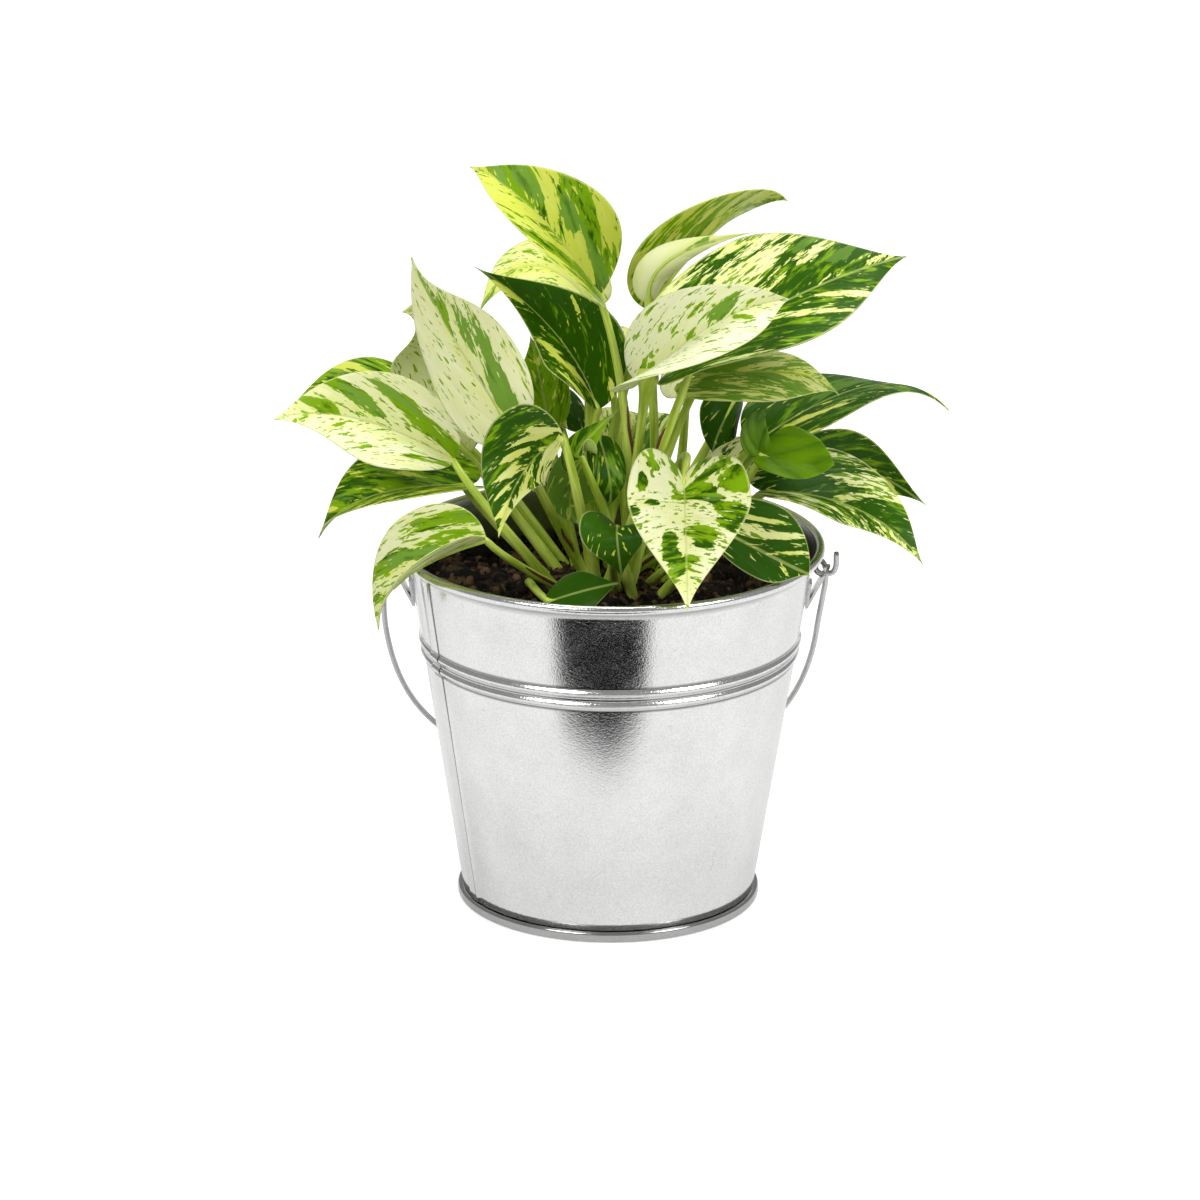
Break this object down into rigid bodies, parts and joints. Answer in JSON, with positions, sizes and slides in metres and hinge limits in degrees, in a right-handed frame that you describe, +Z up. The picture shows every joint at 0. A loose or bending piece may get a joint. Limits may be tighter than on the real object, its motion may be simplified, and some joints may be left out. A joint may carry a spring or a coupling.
{
  "type": "potted marble queen pothos",
  "caption": "Variegated trailing house plant with waxy heart-shaped leaves, growing in a small tapered galvanised bucket with a hinged wire bail.",
  "frame": {"origin": "middle of the circle that the bucket stands on", "axes": "+Z up, -Y is the front of the plant, +X runs to the right along the bail's hinge line"},
  "size_m": [0.2093, 0.1455, 0.2375],
  "materials": {
    "galvanised_steel": "satin hot-dip zinc with a fine grain",
    "bail_wire": "drawn galvanised wire",
    "soil": "coarse moist peat",
    "foliage": "waxy, cream and green in streaks along the side veins"
  },
  "bodies": {
    "bucket": {"bucket_wall": "galvanised_steel", "bucket_base": "galvanised_steel", "ear_right": "galvanised_steel", "ear_left": "galvanised_steel", "soil": "soil", "leaf_top": "foliage", "leaf_behind_top": "foliage", "leaf_dark_middle": "foliage", "leaf_upper_right": "foliage", "leaf_curled_cream": "foliage", "leaf_big_right": "foliage", "leaf_white": "foliage", "leaf_striped": "foliage", "leaf_long_tip": "foliage", "leaf_young": "foliage", "leaf_young_upper": "foliage", "leaf_dark_right": "foliage", "leaf_low_right": "foliage", "leaf_rim_right": "foliage", "leaf_heart": "foliage", "leaf_small_heart": "foliage", "leaf_soil_front": "foliage", "leaf_front_left": "foliage", "leaf_edge_on": "foliage", "leaf_middle_dark": "foliage", "leaf_middle_grey": "foliage", "leaf_left_cream": "foliage", "leaf_left_low_cream": "foliage", "leaf_left_back_dark": "foliage", "leaf_left_back_pale": "foliage", "leaf_left_low_dark": "foliage", "leaf_rim_left": "foliage", "leaf_olive": "foliage", "leaf_dark_point": "foliage", "leaf_back_middle": "foliage", "leaf_back_low_right": "foliage", "leaf_back_low_left": "foliage", "leaf_back_left": "foliage", "leaf_back_right": "foliage", "leaf_back_centre": "foliage"},
    "bail": {"bail": "bail_wire"}
  },
  "joints": [
    {"name": "bail_hinge", "type": "hinge", "parent": "bucket", "child": "bail", "pos_m": [0, 0, 0.105], "axis": [1, 0, 0], "range_deg": [0, 75]}
  ]
}
